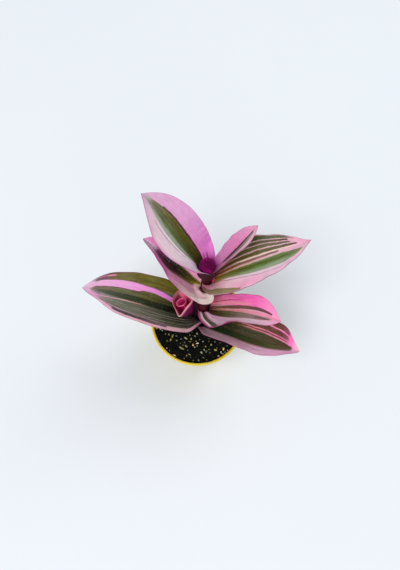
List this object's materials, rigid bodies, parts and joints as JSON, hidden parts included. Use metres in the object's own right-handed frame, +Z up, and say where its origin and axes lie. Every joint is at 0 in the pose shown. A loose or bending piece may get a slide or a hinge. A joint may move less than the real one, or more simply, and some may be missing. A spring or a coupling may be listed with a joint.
{
  "type": "potted tradescantia",
  "caption": "Young potted tradescantia with pink, green and cream striped leaves on one leaning stem, in a small yellow nursery pot.",
  "frame": {"origin": "centre of the pot's flat bottom, where it rests", "axes": "+Z up; the picture is taken from above on the -Y side, with +X to its right"},
  "size_m": [0.1202, 0.0649, 0.1352],
  "materials": {
    "pot_plastic": "satin",
    "potting_mix": "matte",
    "stem_skin": "satin",
    "variegated_leaf": "satin",
    "furry_bud": "matte",
    "bud_skin": "satin",
    "young_leaf": "satin"
  },
  "bodies": {
    "root": {"pot": "pot_plastic", "soil": "potting_mix", "stem": "stem_skin", "leaf_lower_right": "variegated_leaf", "leaf_lower_left": "variegated_leaf", "leaf_mid_right": "variegated_leaf", "leaf_mid_left": "variegated_leaf", "leaf_upper_right": "variegated_leaf", "leaf_upper_left": "variegated_leaf", "leaf_top_right": "variegated_leaf", "tip_bud": "furry_bud", "axil_bud": "bud_skin", "shoot_leaf_outer": "young_leaf", "shoot_leaf_inner": "young_leaf"}
  },
  "joints": []
}
